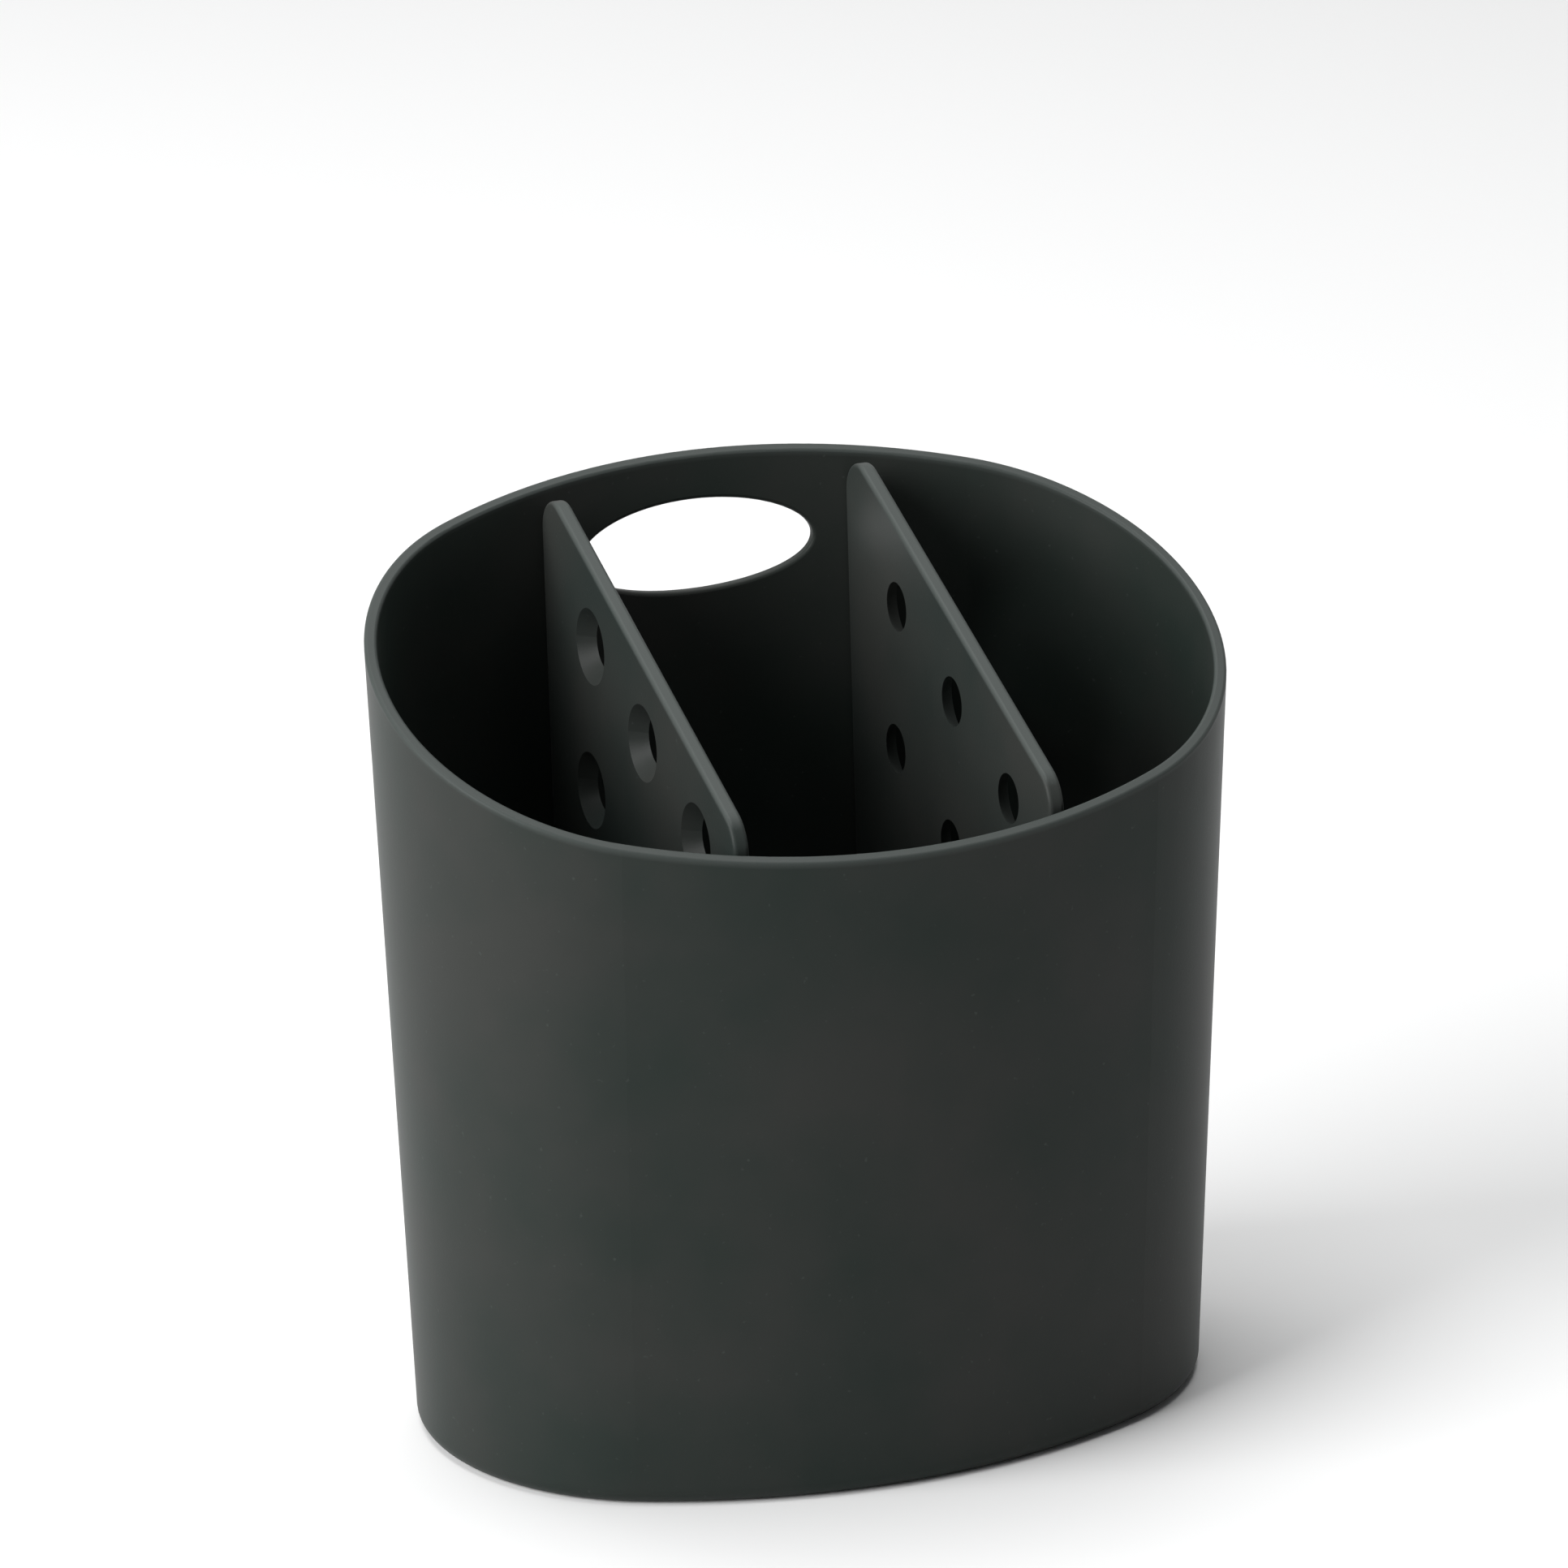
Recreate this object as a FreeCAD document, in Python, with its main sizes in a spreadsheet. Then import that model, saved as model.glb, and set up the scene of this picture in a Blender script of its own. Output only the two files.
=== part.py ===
import FreeCAD, Part
import math
import os
import Sketcher

# Cutlery drainer: a tapered oval vessel with a slanted rim and a hand hole in its back wall, and a
# lift-out insert made of a perforated drain plate and two upright perforated dividers.
# Frame: +X along the long axis, +Y to the back (the high side of the rim), +Z up, the origin on the
# resting plane below the middle of the bounding box. Millimetres and degrees.

SIZES = {
    # vessel
    "base_length": 148.8,
    "base_depth": 98.0,
    "base_end_radius": 42.2,
    "base_shift": 6.2,
    "wall_draft": 2.16,
    "wall_lean": 2.19,
    "rim_height": 142.0,
    "rim_slant": 20.8,
    "wall": 2.3,
    "floor_thick": 2.5,
    "base_rounding": 3.0,
    "inside_rounding": 2.5,
    "rim_rounding": 0.6,
    "foot_width": 7.0,
    "foot_depth": 1.0,
    # hand hole
    "grip_length": 46.0,
    "grip_height": 17.2,
    "grip_drop": 15.5,
    "grip_rounding": 0.7,
    # drain plate
    "plate_lift": 10.0,
    "plate_thick": 2.5,
    "plate_gap": 0.8,
    "leg_radius": 4.0,
    "leg_inset": 9.0,
    "drain_slot_length": 28.0,
    "drain_slot_width": 4.0,
    "drain_pitch": 9.0,
    "drain_margin": 4.0,
    # dividers
    "divider_spacing": 60.0,
    "divider_thick": 3.0,
    "divider_gap": 0.8,
    "divider_rise": 3.0,
    "front_corner": 8.0,
    "back_corner": 6.0,
    "top_rounding": 0.8,
    "hole_radius": 4.6,
    "hole_flare": 2.5,
    "hole_pitch": 26.0,
    "hole_row_drop": 27.6,
    "hole_top_depth": 14.9,
    "hole_foot_margin": 4.0,
    "tab_length": 16.0,
    "tab_offset": 24.0,
    "tab_clearance": 0.15,
}
HOLE_COLUMNS = (1, 0, -1)
TAB_SIDES = (-1, 1)
# Heights, as shares of the rim's, where the walls have a section of their own.
WALL_STATIONS = (0.4, 0.8)
# Lengths under this many millimetres count as nothing.
TINY = 0.01
# Bulge, as a share of the radius, that a corner's arc starts with before it is solved.
START_SAG = 0.15

doc = FreeCAD.newDocument("cutlery_drainer")
sheet = doc.addObject("Spreadsheet::Sheet", "sizes")
for row, (alias, value) in enumerate(SIZES.items(), start=1):
    sheet.set("A%d" % row, alias)
    sheet.set("B%d" % row, str(value))
    sheet.setAlias("B%d" % row, alias)
doc.recompute()


def size(alias):
    """The present value of one cell of the sheet."""
    return float(sheet.get(alias))


# ---- expressions shared by several pieces --------------------------------------------------------
# The plan of the vessel is an oval of four tangent arcs. Every level of it, inside and out, is an
# offset of the same oval, so all the arcs keep their centres and only the radii grow.
END_CENTRE = "(sizes.base_length / 2 - sizes.base_end_radius)"
SHOULDER = "(sizes.base_depth / 2 - sizes.base_end_radius)"
LONG_CENTRE = "((%s ^ 2 - %s ^ 2) / (2 * %s))" % (END_CENTRE, SHOULDER, SHOULDER)
CAVITY_BOTTOM = "sizes.floor_thick"
PLATE_BOTTOM = "(sizes.floor_thick + sizes.plate_lift)"
PLATE_TOP = "(%s + sizes.plate_thick)" % PLATE_BOTTOM
PLATE_CENTRE_Y = "(%s * tan(sizes.wall_lean) - sizes.base_shift)" % PLATE_TOP
LEG_X = "(sizes.base_length / 2 - sizes.wall - sizes.leg_inset - sizes.leg_radius)"
LEG_Y = "(sizes.base_depth / 2 - sizes.wall - sizes.leg_inset)"
# Clear floor of an end compartment, from the divider's outer face to the leg under it.
DIVIDER_FACE = "((sizes.divider_spacing + sizes.divider_thick) / 2)"
END_FLOOR = "(%s - sizes.leg_radius - %s)" % (LEG_X, DIVIDER_FACE)
# A level well above the highest point of the slanted rim, where the lofts end before the trim.
LOFT_TOP = "(sizes.rim_height + sizes.base_depth * tan(sizes.rim_slant))"
WALL_LEVELS = ["(sizes.rim_height * %g)" % share for share in WALL_STATIONS] + [LOFT_TOP]
GRIP_Z = "(sizes.base_depth / 2 * tan(sizes.rim_slant) + sizes.rim_height - sizes.grip_drop)"


def centre_y(level):
    """Y of the oval's centre at a level: the vessel leans back as it rises."""
    return "(%s * tan(sizes.wall_lean) - sizes.base_shift)" % level


def end_radius(level, inset):
    """Radius of the end arcs at a level, for a surface that lies an inset inside the outer one."""
    return "(sizes.base_end_radius + %s * tan(sizes.wall_draft) - (%s))" % (level, inset)


def number(expression):
    """The value of an expression in the sheet's names, used to place a sketch before it is solved."""
    return float(sheet.evalExpression(expression))


# ---- helpers ------------------------------------------------------------------------------------
def new_body(label):
    body = doc.addObject("PartDesign::Body", label)
    body.Label = label
    return body


def new_sketch(body, name, plane, level="0"):
    """A sketch on one of the body's own origin planes, moved along the plane's normal."""
    sketch = body.newObject("Sketcher::SketchObject", name)
    support = [item for item in body.Origin.OriginFeatures if item.Role == plane][0]
    sketch.AttachmentSupport = (support, [""])
    sketch.MapMode = "FlatFace"
    if level != "0":
        sketch.setExpression("AttachmentOffset.Base.z", level)
    return sketch


def bind(sketch, kind, *args, to):
    """A dimension of the sketch, bound to an expression."""
    index = sketch.addConstraint(Sketcher.Constraint(kind, *args, number(to)))
    sketch.setExpression("Constraints[%d]" % index, to)


def point(x, y):
    return FreeCAD.Vector(x, y, 0)


def arc(sketch, x, y, radius, start, end):
    circle = Part.Circle(point(x, y), FreeCAD.Vector(0, 0, 1), radius)
    return sketch.addGeometry(Part.ArcOfCircle(circle, start, end), False)


def oval(body, name, level, inset):
    """The vessel's plan at a level as four tangent arcs, an inset inside the outer surface."""
    sketch = new_sketch(body, name, "XY_Plane", level)
    middle = centre_y(level)
    radius = end_radius(level, inset)
    end_x = number(END_CENTRE)
    long_y = number(LONG_CENTRE)
    y = number(middle)
    end_r = number(radius)
    long_r = math.hypot(end_x, long_y) + end_r
    turn = math.atan2(long_y, end_x)
    right = arc(sketch, end_x, y, end_r, -turn, turn)
    back = arc(sketch, 0, y - long_y, long_r, turn, math.pi - turn)
    left = arc(sketch, -end_x, y, end_r, math.pi - turn, math.pi + turn)
    front = arc(sketch, 0, y + long_y, long_r, math.pi + turn, 2 * math.pi - turn)
    for first, second in ((right, back), (back, left), (left, front), (front, right)):
        sketch.addConstraint(Sketcher.Constraint("Tangent", first, 2, second, 1))
    bind(sketch, "DistanceX", -1, 1, right, 3, to=END_CENTRE)
    bind(sketch, "DistanceX", left, 3, -1, 1, to=END_CENTRE)
    bind(sketch, "DistanceY", -1, 1, right, 3, to=middle)
    bind(sketch, "DistanceY", -1, 1, left, 3, to=middle)
    bind(sketch, "Radius", right, to=radius)
    bind(sketch, "Radius", left, to=radius)
    bind(sketch, "DistanceY", back, 3, right, 3, to=LONG_CENTRE)
    bind(sketch, "DistanceY", right, 3, front, 3, to=LONG_CENTRE)
    return sketch


def polygon(sketch, corners):
    """A closed outline whose corners are pairs of expressions, each bound to the origin."""
    values = [point(number(x), number(y)) for x, y in corners]
    lines = []
    for index, start in enumerate(values):
        end = values[(index + 1) % len(values)]
        lines.append(sketch.addGeometry(Part.LineSegment(start, end), False))
    for index, line in enumerate(lines):
        following = lines[(index + 1) % len(lines)]
        sketch.addConstraint(Sketcher.Constraint("Coincident", line, 2, following, 1))
    for line, (x, y) in zip(lines, corners):
        bind(sketch, "DistanceX", -1, 1, line, 1, to=x)
        bind(sketch, "DistanceY", -1, 1, line, 1, to=y)


def rectangle(sketch, x, y, width, height):
    """A rectangle about a centre, all four given as expressions."""
    low_x, high_x = "(%s) - (%s) / 2" % (x, width), "(%s) + (%s) / 2" % (x, width)
    low_y, high_y = "(%s) - (%s) / 2" % (y, height), "(%s) + (%s) / 2" % (y, height)
    polygon(sketch, [(low_x, low_y), (high_x, low_y), (high_x, high_y), (low_x, high_y)])


def circle(sketch, x, y, radius):
    """A circle whose centre and radius are expressions."""
    centre = point(number(x), number(y))
    shape = Part.Circle(centre, FreeCAD.Vector(0, 0, 1), number(radius))
    ring = sketch.addGeometry(shape, False)
    bind(sketch, "DistanceX", -1, 1, ring, 3, to=x)
    bind(sketch, "DistanceY", -1, 1, ring, 3, to=y)
    bind(sketch, "Radius", ring, to=radius)


def slot(sketch, x, y, length, width):
    """An oblong with round ends, its long way along the sketch's x."""
    cx, cy = number(x), number(y)
    reach = "((%s) - (%s)) / 2" % (length, width)
    half = number(reach)
    end = number("(%s) / 2" % width)
    right = arc(sketch, cx + half, cy, end, -math.pi / 2, math.pi / 2)
    left = arc(sketch, cx - half, cy, end, math.pi / 2, 3 * math.pi / 2)
    top = sketch.addGeometry(Part.LineSegment(point(cx + half, cy + end), point(cx - half, cy + end)), False)
    low = sketch.addGeometry(Part.LineSegment(point(cx - half, cy - end), point(cx + half, cy - end)), False)
    for first, second in ((right, top), (top, left), (left, low), (low, right)):
        sketch.addConstraint(Sketcher.Constraint("Tangent", first, 2, second, 1))
    bind(sketch, "DistanceX", -1, 1, right, 3, to="(%s) + %s" % (x, reach))
    bind(sketch, "DistanceX", -1, 1, left, 3, to="(%s) - %s" % (x, reach))
    bind(sketch, "DistanceY", -1, 1, right, 3, to=y)
    bind(sketch, "DistanceY", -1, 1, left, 3, to=y)
    bind(sketch, "Radius", right, to="(%s) / 2" % width)


def ellipse(sketch, x, y, length, height):
    """An ellipse, its long way along the sketch's x, from expressions."""
    centre = point(number(x), number(y))
    tip = centre + point(number(length) / 2, 0)
    crown = centre + point(0, number(height) / 2)
    ring = sketch.addGeometry(Part.Ellipse(tip, crown, centre), False)
    sketch.exposeInternalGeometry(ring)
    major, minor = ring + 1, ring + 2
    sketch.addConstraint(Sketcher.Constraint("Horizontal", major))
    bind(sketch, "Distance", major, to=length)
    bind(sketch, "Distance", minor, to=height)
    bind(sketch, "DistanceX", -1, 1, ring, 3, to=x)
    bind(sketch, "DistanceY", -1, 1, ring, 3, to=y)


def oval_loft(body, name, kind, levels, inset):
    """A solid or a cavity through several levels, with the vessel's own draft and lean."""
    ovals = [oval(body, "%s_oval_%d" % (name, index), level, inset) for index, level in enumerate(levels)]
    loft = body.newObject("PartDesign::" + kind, name)
    loft.Profile = ovals[0]
    loft.Sections = ovals[1:]
    loft.Ruled = True
    doc.recompute()
    return loft


def cut(body, name, sketch, length=None, reverse=False, both=False):
    """A pocket, which must take material away."""
    before = body.Shape.Volume
    pocket = body.newObject("PartDesign::Pocket", name)
    pocket.Profile = sketch
    pocket.Reversed = reverse
    if length is None:
        pocket.Type = "ThroughAll"
    else:
        pocket.Type = "Length"
        pocket.setExpression("Length", length)
    pocket.Midplane = both
    doc.recompute()
    if not body.Shape.Volume < before - TINY:
        raise RuntimeError("%s cuts nothing from %s" % (name, body.Label))
    return pocket


def pad(body, name, sketch, length, reverse=False):
    feature = body.newObject("PartDesign::Pad", name)
    feature.Profile = sketch
    feature.Reversed = reverse
    feature.setExpression("Length", length)
    doc.recompute()
    return feature


def fillet(body, name, base, radius, wanted):
    """Rounds the edges of a feature for which wanted(edge) is true."""
    edges = ["Edge%d" % (index + 1) for index, edge in enumerate(base.Shape.Edges) if wanted(edge)]
    if not edges:
        raise RuntimeError("no edges for " + name)
    feature = body.newObject("PartDesign::Fillet", name)
    feature.Base = (base, edges)
    feature.setExpression("Radius", radius)
    doc.recompute()
    return feature


def heights(edge):
    return [vertex.Z for vertex in edge.Vertexes]


def slant_height(y, drop=0.0):
    """Height of the slanted rim plane at a given y, lowered by a drop."""
    return size("rim_height") - drop + y * math.tan(math.radians(size("rim_slant")))


def on_slant(edge, drop=0.0):
    ends = edge.Vertexes + [Part.Vertex(edge.valueAt((edge.FirstParameter + edge.LastParameter) / 2))]
    return all(abs(vertex.Z - slant_height(vertex.Y, drop)) < TINY for vertex in ends)


def slant_trim(body, name, drop):
    """Cuts the body off along the slanted rim plane, lowered by a drop."""
    sketch = new_sketch(body, name + "_outline", "YZ_Plane")
    reach = "sizes.base_depth"
    rise = "%s * tan(sizes.rim_slant)" % reach
    roof = "(%s + %s)" % (LOFT_TOP, reach)
    polygon(sketch, [
        ("-" + reach, "sizes.rim_height - (%s) - %s" % (drop, rise)),
        (reach, "sizes.rim_height - (%s) + %s" % (drop, rise)),
        (reach, roof),
        ("-" + reach, roof),
    ])
    return cut(body, name, sketch, both=True)


# ---- vessel -------------------------------------------------------------------------------------
def make_vessel():
    body = new_body("vessel")
    oval_loft(body, "shell", "AdditiveLoft", ["0"] + WALL_LEVELS, "0")
    trim = slant_trim(body, "rim_plane", "0")
    fillet(body, "base_edge", trim, "sizes.base_rounding", lambda edge: max(heights(edge)) < TINY)
    oval_loft(body, "cavity", "SubtractiveLoft", [CAVITY_BOTTOM] + WALL_LEVELS, "sizes.wall")
    cavity = body.Tip
    floor = size("floor_thick")
    fillet(body, "cavity_edge", cavity, "sizes.inside_rounding",
           lambda edge: all(abs(z - floor) < TINY for z in heights(edge)))
    recess = oval(body, "foot_recess_outline", "0", "sizes.foot_width")
    cut(body, "foot_recess", recess, "sizes.foot_depth", reverse=True)
    outline = new_sketch(body, "grip_outline", "XZ_Plane")
    ellipse(outline, "0", GRIP_Z, "sizes.grip_length", "sizes.grip_height")
    grip = cut(body, "grip", outline, "sizes.base_depth")
    reach = size("grip_length") / 2 + TINY
    low = number(GRIP_Z) - size("grip_height") / 2 - TINY

    def lip(edge):
        box = edge.BoundBox
        inner = box.YMin > 0 and box.XMin > -reach and box.XMax < reach
        return inner and box.ZMin > low and not on_slant(edge) and not runs_through(edge)

    rounded = fillet(body, "grip_edge", grip, "sizes.grip_rounding", lip)
    fillet(body, "rim_edge", rounded, "sizes.rim_rounding", on_slant)
    return body


def runs_through(edge):
    """True for an edge that crosses the wall from its inner face to its outer face."""
    start, end = edge.Vertexes[0].Point, edge.Vertexes[-1].Point
    return abs(start.y - end.y) > size("wall") / 2


# ---- drain plate ----------------------------------------------------------------------------------
def tab_places():
    """Y of the tabs on each divider, as expressions."""
    return ["%s + (%d) * sizes.tab_offset" % (PLATE_CENTRE_Y, side) for side in TAB_SIDES]


def drain_columns():
    """X, slot length and number of rows of each column of drain slots."""
    clear = number(LEG_Y) - size("leg_radius") - size("drain_slot_width") / 2 - size("drain_margin") / 2
    rows = 2 * int(clear / size("drain_pitch")) + 1
    outer_x = "(%s + %s / 2)" % (DIVIDER_FACE, END_FLOOR)
    outer_length = "(%s - 2 * sizes.drain_margin)" % END_FLOOR
    return (
        ("-" + outer_x, outer_length, rows - 2),
        ("0", "sizes.drain_slot_length", rows),
        (outer_x, outer_length, rows - 2),
    )


def make_drain_plate():
    body = new_body("drain_plate")
    inset = "sizes.wall + sizes.plate_gap"
    oval_loft(body, "disc", "AdditiveLoft", [PLATE_BOTTOM, PLATE_TOP], inset)
    legs = new_sketch(body, "leg_outlines", "XY_Plane", CAVITY_BOTTOM)
    for side_x, side_y in ((-1, 0), (1, 0), (0, -1), (0, 1)):
        x = "%d * %s" % (side_x, LEG_X)
        y = "%s + %d * %s" % (PLATE_CENTRE_Y, side_y, LEG_Y)
        circle(legs, x, y, "sizes.leg_radius")
    pad(body, "legs", legs, "sizes.plate_lift")
    openings = new_sketch(body, "tab_slot_outlines", "XY_Plane", PLATE_TOP)
    width = "sizes.divider_thick + 2 * sizes.tab_clearance"
    length = "sizes.tab_length + 2 * sizes.tab_clearance"
    for side in (-1, 1):
        for y in tab_places():
            rectangle(openings, "%d * sizes.divider_spacing / 2" % side, y, width, length)
    cut(body, "tab_slots", openings, "sizes.plate_thick")
    drains = new_sketch(body, "drain_outlines", "XY_Plane", PLATE_TOP)
    for x, length, rows in drain_columns():
        for row in range(rows):
            y = "%s + %g * sizes.drain_pitch" % (PLATE_CENTRE_Y, row - (rows - 1) / 2)
            slot(drains, x, y, length, "sizes.drain_slot_width")
    cut(body, "drain_slots", drains, "sizes.plate_thick")
    return body


# ---- dividers -----------------------------------------------------------------------------------
def wall_y(level, across, front):
    """Y of the vessel's inner wall, less the divider's gap, at a level and a distance across."""
    inset = "(sizes.wall + sizes.divider_gap)"
    radius = "(hypot(%s; %s) + %s)" % (END_CENTRE, LONG_CENTRE, end_radius(level, inset))
    reach = "(sqrt(%s ^ 2 - (%s) ^ 2) - %s)" % (radius, across, LONG_CENTRE)
    return "(%s %s %s)" % (centre_y(level), "-" if front else "+", reach)


def fixed_point(sketch, x, y):
    """A point of the sketch at a place given by two expressions."""
    marker = sketch.addGeometry(Part.Point(point(number(x), number(y))), True)
    bind(sketch, "DistanceX", -1, 1, marker, 1, to=x)
    bind(sketch, "DistanceY", -1, 1, marker, 1, to=y)
    return marker


def panel_outline(sketch):
    """Level foot, ends that follow the vessel's walls, slanted top and rounded top corners."""
    low = {front: wall_y(PLATE_TOP, DIVIDER_FACE, front) for front in (True, False)}
    high = {front: wall_y("sizes.rim_height", DIVIDER_FACE, front) for front in (True, False)}
    top_z = "(sizes.rim_height + sizes.divider_rise)"
    foot_z = number(PLATE_TOP)
    level = number(top_z)
    tilt = math.radians(size("rim_slant"))
    ends = {front: (number(low[front]), number(high[front])) for front in (True, False)}
    front_low, front_high = ends[True]
    back_low, back_high = ends[False]
    front_top = point(front_high, level + front_high * math.tan(tilt))
    back_top = point(back_high, level + back_high * math.tan(tilt))
    front_foot, back_foot = point(front_low, foot_z), point(back_low, foot_z)
    corners = size("front_corner"), size("back_corner")

    def toward(start, end, distance):
        return start + (end - start).normalize() * distance

    def corner_arc(corner, before, after, radius):
        """An arc across a corner, near enough for the solver to finish."""
        start, end = toward(corner, before, radius), toward(corner, after, radius)
        inside = toward((start + end) / 2, corner, radius * START_SAG)
        return sketch.addGeometry(Part.Arc(start, inside, end), False), start, end

    back_arc, back_start, back_end = corner_arc(back_top, back_foot, front_top, corners[1])
    front_arc, front_start, front_end = corner_arc(front_top, back_top, front_foot, corners[0])
    foot = sketch.addGeometry(Part.LineSegment(front_foot, back_foot), False)
    back = sketch.addGeometry(Part.LineSegment(back_foot, back_start), False)
    top = sketch.addGeometry(Part.LineSegment(back_end, front_start), False)
    front = sketch.addGeometry(Part.LineSegment(front_end, front_foot), False)
    sketch.addConstraint(Sketcher.Constraint("Coincident", foot, 2, back, 1))
    sketch.addConstraint(Sketcher.Constraint("Coincident", front, 2, foot, 1))

    def join(line, line_end, curve):
        """Tangent joint at whichever end of the curve lies nearer to the line's end."""
        spot = sketch.getPoint(line, line_end)
        gaps = {end: spot.distanceToPoint(sketch.getPoint(curve, end)) for end in (1, 2)}
        sketch.addConstraint(Sketcher.Constraint("Tangent", line, line_end, curve, min(gaps, key=gaps.get)))

    join(back, 2, back_arc)
    join(top, 1, back_arc)
    join(top, 2, front_arc)
    join(front, 1, front_arc)
    bind(sketch, "DistanceX", -1, 1, foot, 1, to=low[True])
    bind(sketch, "DistanceX", -1, 1, foot, 2, to=low[False])
    bind(sketch, "DistanceY", -1, 1, foot, 1, to=PLATE_TOP)
    bind(sketch, "DistanceY", -1, 1, foot, 2, to=PLATE_TOP)
    for line, x in ((back, high[False]), (front, high[True])):
        guide = fixed_point(sketch, x, "sizes.rim_height")
        sketch.addConstraint(Sketcher.Constraint("PointOnObject", guide, 1, line))
    summit = fixed_point(sketch, "0", top_z)
    sketch.addConstraint(Sketcher.Constraint("PointOnObject", summit, 1, top))
    slope = "180 + sizes.rim_slant"
    index = sketch.addConstraint(Sketcher.Constraint("Angle", top, math.radians(number(slope))))
    sketch.setExpression("Constraints[%d]" % index, "(%s) * 1 deg" % slope)
    bind(sketch, "Radius", back_arc, to="sizes.back_corner")
    bind(sketch, "Radius", front_arc, to="sizes.front_corner")


def hole_height(y, row):
    """Height of a hole at a given y: the rows run parallel to the slanted top."""
    fall = "sizes.hole_top_depth - sizes.divider_rise + %d * sizes.hole_row_drop" % row
    return "(sizes.rim_height + %s * tan(sizes.rim_slant) - (%s))" % (y, fall)


def hole_places():
    """Y and height of each hole, as expressions: as many rows as fit above the drain plate."""
    columns = ["(%s + %d * sizes.hole_pitch)" % (centre_y("(sizes.rim_height / 2)"), step)
               for step in HOLE_COLUMNS]
    floor = number(PLATE_TOP) + size("hole_radius") + size("hole_flare") + size("hole_foot_margin")
    rows = 1 + int((number(hole_height(columns[-1], 0)) - floor) / size("hole_row_drop"))
    return [(y, hole_height(y, row)) for y in columns for row in range(rows)]


def make_divider(label, side):
    """An upright panel across the vessel; side is -1 for the left one and 1 for the right one."""
    body = new_body(label)
    middle = "(%d * sizes.divider_spacing / 2)" % side
    outline = new_sketch(body, label + "_outline", "YZ_Plane", middle)
    panel_outline(outline)
    panel = pad(body, label + "_panel", outline, "sizes.divider_thick")
    panel.Midplane = True
    doc.recompute()
    foot = number(PLATE_TOP)

    def top_rim(edge):
        return edge.BoundBox.XLength < TINY and edge.BoundBox.ZMin > foot + TINY

    fillet(body, label + "_top_edge", panel, "sizes.top_rounding", top_rim)
    flare = "atan(sizes.hole_flare / sizes.divider_thick)"
    holes = new_sketch(body, label + "_hole_outlines", "YZ_Plane", "%d * %s" % (side, DIVIDER_FACE))
    for y, z in hole_places():
        circle(holes, y, z, "sizes.hole_radius + sizes.hole_flare")
    pocket = cut(body, label + "_holes", holes, "sizes.divider_thick", reverse=side < 0)
    pocket.setExpression("TaperAngle", "-(%s)" % flare)
    doc.recompute()
    tabs = new_sketch(body, label + "_tab_outlines", "XY_Plane", PLATE_TOP)
    for y in tab_places():
        rectangle(tabs, middle, y, "sizes.divider_thick", "sizes.tab_length")
    pad(body, label + "_tabs", tabs, "sizes.plate_thick", reverse=True)
    return body


vessel = make_vessel()
drain_plate = make_drain_plate()
left_divider = make_divider("left_divider", -1)
right_divider = make_divider("right_divider", 1)

# ---- checks and files ---------------------------------------------------------------------------
doc.recompute()
for item in doc.Objects:
    if "Invalid" in item.State or "Error" in item.State:
        raise RuntimeError("%s has not been rebuilt: %s" % (item.Name, item.State))
os.makedirs("parts", exist_ok=True)
for body in (vessel, drain_plate, left_divider, right_divider):
    if body.Shape.isNull() or not body.Shape.isValid() or len(body.Shape.Solids) != 1:
        raise RuntimeError("%s is not one sound solid" % body.Label)
    body.Shape.exportStep("parts/%s.step" % body.Label)
    box = body.Shape.optimalBoundingBox(False, False)
    print(body.Label, "%.1f cm3" % (body.Shape.Volume / 1000), box)
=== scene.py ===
import math

import bpy
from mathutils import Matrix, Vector

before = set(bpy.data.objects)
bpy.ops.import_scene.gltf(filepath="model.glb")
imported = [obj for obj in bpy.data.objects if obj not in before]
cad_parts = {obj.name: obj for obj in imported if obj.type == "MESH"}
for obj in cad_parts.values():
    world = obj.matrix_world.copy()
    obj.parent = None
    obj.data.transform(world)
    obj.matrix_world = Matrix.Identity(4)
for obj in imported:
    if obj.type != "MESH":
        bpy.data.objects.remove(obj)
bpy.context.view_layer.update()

# Cutlery drainer of matt dark grey polypropylene: a tapered oval vessel with a slanted rim, and a
# lift-out insert of two perforated dividers standing in a drain plate. Metres, +Z up, +Y to the back.

MM = 0.001

# The rim slants up to the back, and the tops of the dividers run parallel to it, a little higher.
# Both levels are heights along the normal of that slanted plane.
RIM_SLANT = math.radians(20.8)
RIM_NORMAL = (0.0, -math.sin(RIM_SLANT), math.cos(RIM_SLANT))
RIM_LEVEL = 142 * MM * math.cos(RIM_SLANT)
DIVIDER_LEVEL = RIM_LEVEL + 3 * MM

# Sizes of the patterns in the plastic.
CLOUD_WIDTH = 40 * MM
SPECK_WIDTH = 1.1 * MM
PIT_WIDTH = 0.5 * MM
PIT_DEPTH = 0.05 * MM
# How far below the top edge the paler band fades in; the band is partly wear and partly a painted
# highlight.
WEAR_AND_HIGHLIGHT_BAND = (1.1 * MM, 0.2 * MM)

POLYPROPYLENE_IOR = 1.49
MATT_SPECULAR = 0.12

CAMERA_AZIMUTH = math.radians(22.0)
CAMERA_ELEVATION = math.radians(19.98)
CAMERA_AIM = Vector((2.9, 14.2, 110.4)) * MM
CAMERA_DISTANCE = 1.5686
LENS_LENGTH = 197.4
SENSOR_WIDTH = 36.0
FAR_CLIP = 20.0

FLOOR_SIZE = 6.0
FILL_STRENGTH = 0.06

# Each lamp's name, place, the point it faces, side length and power in watts.
LAMPS = (
    ("key_left", (-1.6, -0.25, 0.9), (0.0, 0.0, 0.08), 1.2, 44),
    ("top", (0.0, 0.45, 2.2), (0.0, 0.0, 0.1), 1.7, 44),
)


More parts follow.
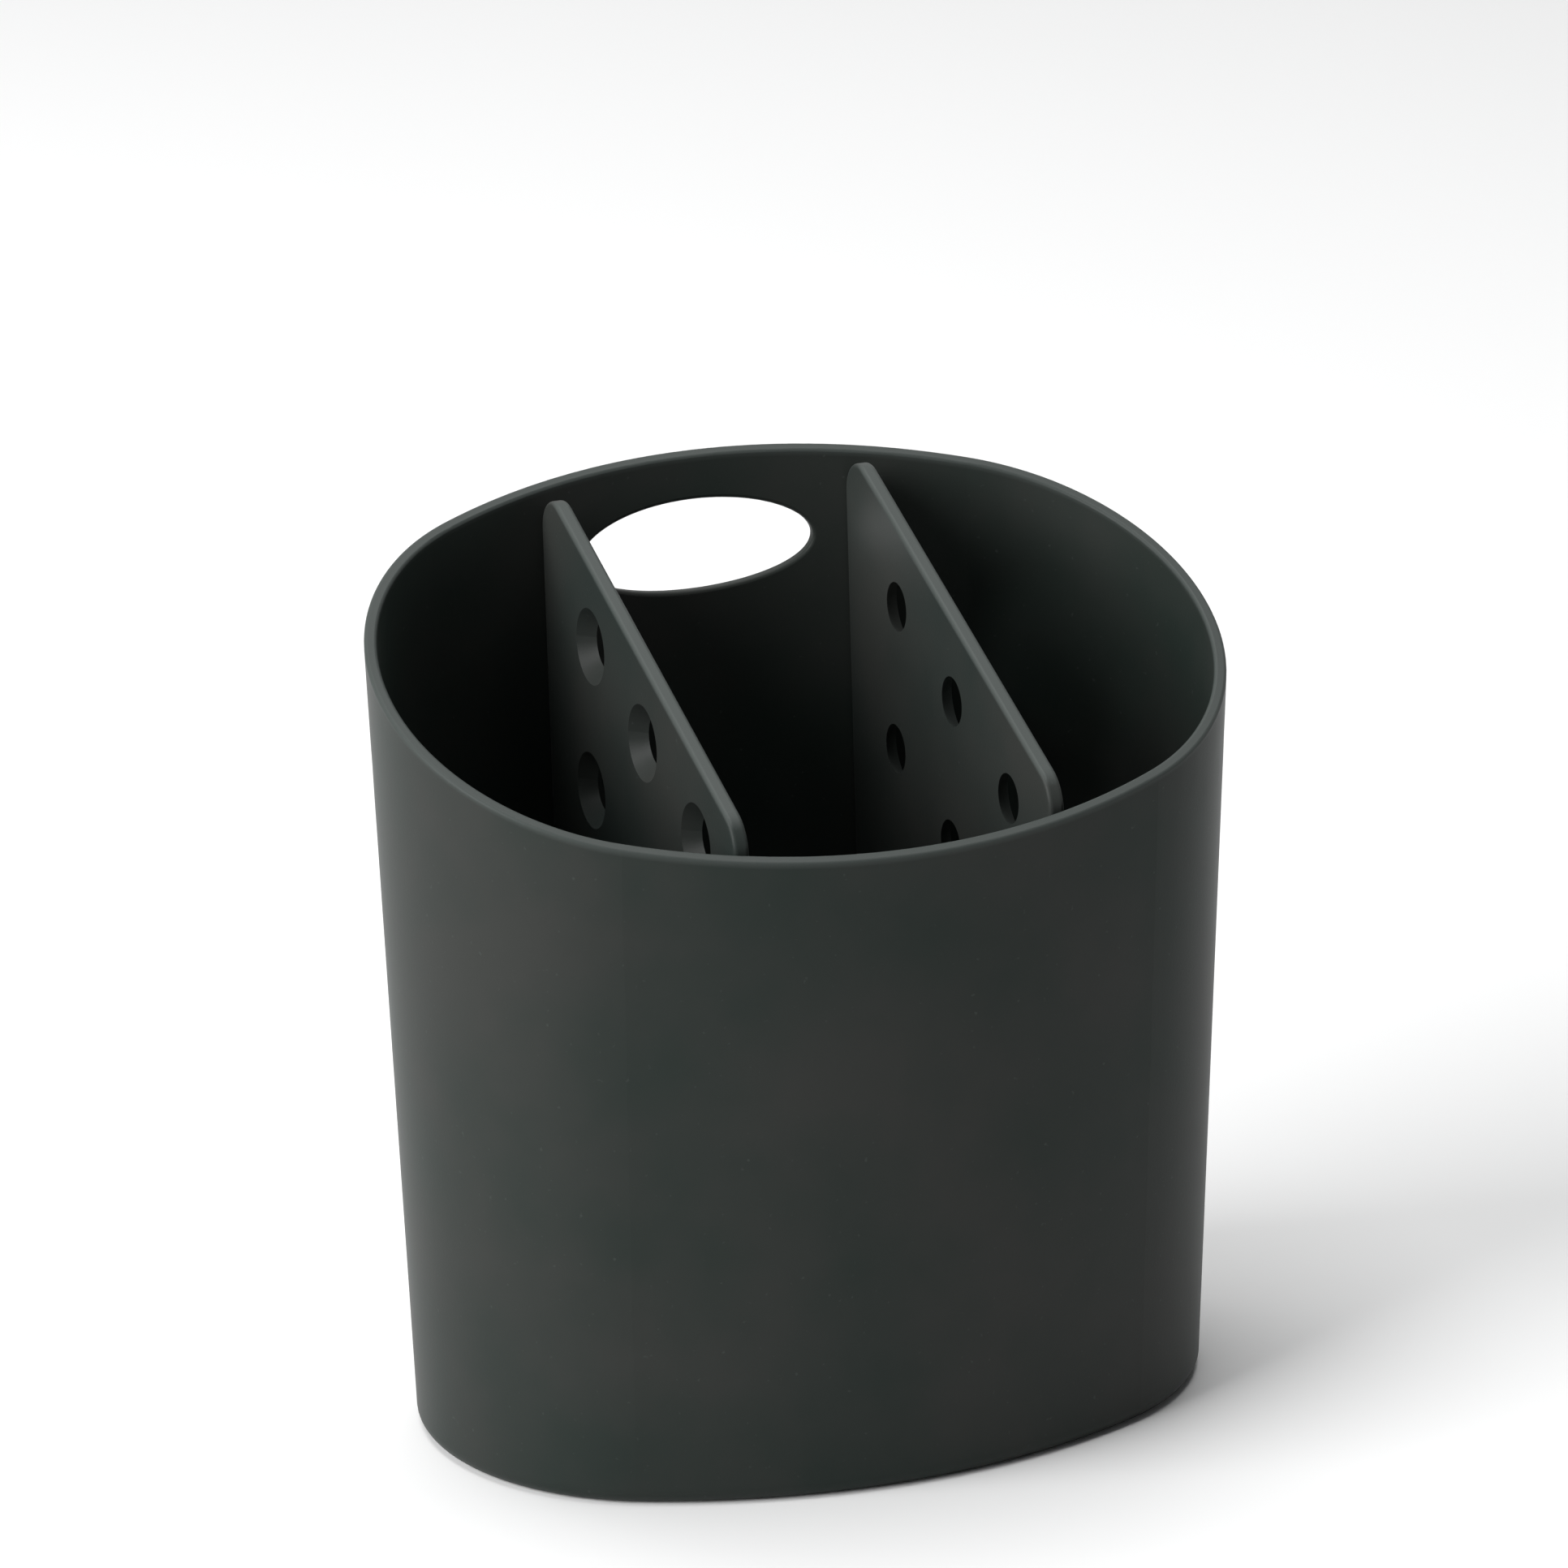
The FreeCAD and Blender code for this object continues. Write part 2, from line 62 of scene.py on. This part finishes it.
# ---- colours and nodes --------------------------------------------------------------------------
def linear(hex_colour):
    """An sRGB hex value as linear red, green, blue and full alpha."""
    channels = [int(hex_colour[i:i + 2], 16) / 255 for i in (1, 3, 5)]
    return [c / 12.92 if c <= 0.04045 else ((c + 0.055) / 1.055) ** 2.4 for c in channels] + [1.0]


def fill_socket(tree, socket, value):
    """Links the socket to another node's output, or sets it to a constant."""
    if isinstance(value, bpy.types.NodeSocket):
        tree.links.new(value, socket)
    else:
        socket.default_value = value


def add_node(tree, kind, settings=None, numbered=None, **inputs):
    """Adds a node with its settings, and fills its inputs by number or by name."""
    node = tree.nodes.new(kind)
    for key, value in (settings or {}).items():
        setattr(node, key, value)
    for index, value in (numbered or {}).items():
        fill_socket(tree, node.inputs[index], value)
    for name, value in inputs.items():
        fill_socket(tree, node.inputs[name.replace("_", " ")], value)
    return node


def mix_colours(tree, amount, first, second):
    """A colour that goes from the first to the second as the amount goes from 0 to 1."""
    mixer = add_node(tree, "ShaderNodeMix", {"data_type": "RGBA"}, {0: amount, 6: first, 7: second})
    return mixer.outputs[2]


def larger_of(tree, first, second):
    return add_node(tree, "ShaderNodeMath", {"operation": "MAXIMUM"}, {0: first, 1: second}).outputs[0]


def new_material(name):
    material = bpy.data.materials.new(name)
    material.use_nodes = True
    tree = material.node_tree
    tree.nodes.clear()
    return material, tree


# ---- materials ----------------------------------------------------------------------------------
def moulded_polypropylene(name, cool, warm, wear_and_highlight, top_level):
    """Injection-moulded polypropylene with a fine spark-eroded texture: a soft, slightly uneven
    sheen, tiny pits, a faint cloudiness where the melt has flowed, a few pale flecks of dried
    water, and a paler top edge that is partly handled wear and partly a painted highlight. The pits
    are really about 0.2 mm apart, too fine to show, so they are drawn at 0.5 mm."""
    material, tree = new_material(name)
    place = add_node(tree, "ShaderNodeTexCoord").outputs["Object"]
    cloud = add_node(tree, "ShaderNodeTexNoise", Vector=place, Scale=1 / CLOUD_WIDTH,
                     Detail=3.0, Roughness=0.55).outputs["Fac"]
    flow = add_node(tree, "ShaderNodeMapRange", Value=cloud, From_Min=0.35, From_Max=0.65)
    body = mix_colours(tree, flow.outputs["Result"], linear(cool), linear(warm))

    # The paler top band follows the slanted top edge: partly handled wear, partly a painted highlight
    # standing in for light on the rim.
    height = add_node(tree, "ShaderNodeVectorMath", {"operation": "DOT_PRODUCT"},
                      {0: place, 1: RIM_NORMAL}).outputs["Value"]
    edge = add_node(tree, "ShaderNodeMapRange", Value=height,
                    From_Min=top_level - WEAR_AND_HIGHLIGHT_BAND[0], From_Max=top_level - WEAR_AND_HIGHLIGHT_BAND[1])
    specks = add_node(tree, "ShaderNodeTexNoise", Vector=place, Scale=1 / SPECK_WIDTH,
                      Detail=1.0, Roughness=0.5).outputs["Fac"]
    dried = add_node(tree, "ShaderNodeMapRange", Value=specks,
                     From_Min=0.73, From_Max=0.82, To_Max=0.6)
    # Paler at the top band, which is partly wear and partly a painted highlight, and at the dried
    # flecks.
    paler = larger_of(tree, edge.outputs["Result"], dried.outputs["Result"])
    colour = mix_colours(tree, paler, body, linear(wear_and_highlight))

    gloss = add_node(tree, "ShaderNodeMapRange", Value=cloud, To_Min=0.40, To_Max=0.50)
    pits = add_node(tree, "ShaderNodeTexNoise", Vector=place, Scale=1 / PIT_WIDTH,
                    Detail=3.0, Roughness=0.6).outputs["Fac"]
    bump = add_node(tree, "ShaderNodeBump", Strength=0.3, Distance=PIT_DEPTH, Height=pits)
    shader = add_node(tree, "ShaderNodeBsdfPrincipled", Base_Color=colour,
                      Roughness=gloss.outputs["Result"], Normal=bump.outputs["Normal"],
                      IOR=POLYPROPYLENE_IOR, Specular_IOR_Level=MATT_SPECULAR)
    add_node(tree, "ShaderNodeOutputMaterial", Surface=shader.outputs["BSDF"])
    return material


def pale_floor_sheet(name):
    """A matt, very pale sheet that keeps a soft shadow."""
    material, tree = new_material(name)
    shader = add_node(tree, "ShaderNodeBsdfPrincipled", Base_Color=linear("#f4f4f4"), Roughness=0.9)
    add_node(tree, "ShaderNodeOutputMaterial", Surface=shader.outputs["BSDF"])
    return material


def finish_nodes():
    """Gives the vessel and the three pieces of the insert their plastics."""
    # Each plastic's third colour is its paler top edge: partly wear, partly a painted highlight on the
    # rim and divider tops.
    vessel_plastic = moulded_polypropylene(
        "moulded_polypropylene_dark_grey", "#242b28", "#2e302e", "#3b403e", RIM_LEVEL)
    insert_plastic = moulded_polypropylene(
        "moulded_polypropylene_insert", "#282e2c", "#313331", "#414644", DIVIDER_LEVEL)
    plastics = {"vessel": vessel_plastic, "drain_plate": insert_plastic,
                "left_divider": insert_plastic, "right_divider": insert_plastic}
    for name, plastic in plastics.items():
        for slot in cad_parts[name].material_slots:
            slot.material = plastic


# ---- camera and studio --------------------------------------------------------------------------
def add_camera():
    """A long lens from the front left, looking down on the rim."""
    level = math.cos(CAMERA_ELEVATION)
    forward = Vector((math.sin(CAMERA_AZIMUTH) * level, math.cos(CAMERA_AZIMUTH) * level,
                      -math.sin(CAMERA_ELEVATION)))
    data = bpy.data.cameras.new("camera")
    data.sensor_width = SENSOR_WIDTH
    data.lens = LENS_LENGTH
    data.clip_end = FAR_CLIP
    camera = bpy.data.objects.new("camera", data)
    camera.location = CAMERA_AIM - forward * CAMERA_DISTANCE
    camera.rotation_euler = forward.to_track_quat("-Z", "Y").to_euler()
    bpy.context.collection.objects.link(camera)
    bpy.context.scene.camera = camera


def add_floor():
    bpy.ops.object.select_all(action="DESELECT")
    bpy.ops.mesh.primitive_plane_add(size=FLOOR_SIZE, location=(0, 0, 0))
    floor = bpy.context.object
    floor.name = "floor"
    floor.data.materials.append(pale_floor_sheet("studio_floor_white"))


def add_lamp(name, place, faces, side, power):
    """A soft square lamp."""
    data = bpy.data.lights.new(name, "AREA")
    data.shape = "RECTANGLE"
    data.size = data.size_y = side
    data.energy = power
    lamp = bpy.data.objects.new(name, data)
    lamp.location = place
    lamp.rotation_euler = (Vector(faces) - Vector(place)).to_track_quat("-Z", "Y").to_euler()
    bpy.context.collection.objects.link(lamp)


def add_world():
    """White to the eye, in reflections and through clear things, and a faint fill for the rest."""
    world = bpy.data.worlds.new("studio")
    bpy.context.scene.world = world
    world.use_nodes = True
    tree = world.node_tree
    tree.nodes.clear()
    seen = add_node(tree, "ShaderNodeBackground", Color=linear("#ffffff"), Strength=1.0)
    fill = add_node(tree, "ShaderNodeBackground", Color=linear("#eef2f4"), Strength=FILL_STRENGTH)
    ray = add_node(tree, "ShaderNodeLightPath").outputs
    shows = larger_of(tree, larger_of(tree, ray["Is Camera Ray"], ray["Is Glossy Ray"]),
                      ray["Is Transmission Ray"])
    both = add_node(tree, "ShaderNodeMixShader", None,
                    {0: shows, 1: fill.outputs[0], 2: seen.outputs[0]})
    add_node(tree, "ShaderNodeOutputWorld", Surface=both.outputs[0])


finish_nodes()
add_camera()
add_floor()
add_world()
for lamp in LAMPS:
    add_lamp(*lamp)
bpy.context.scene.view_settings.view_transform = "Standard"
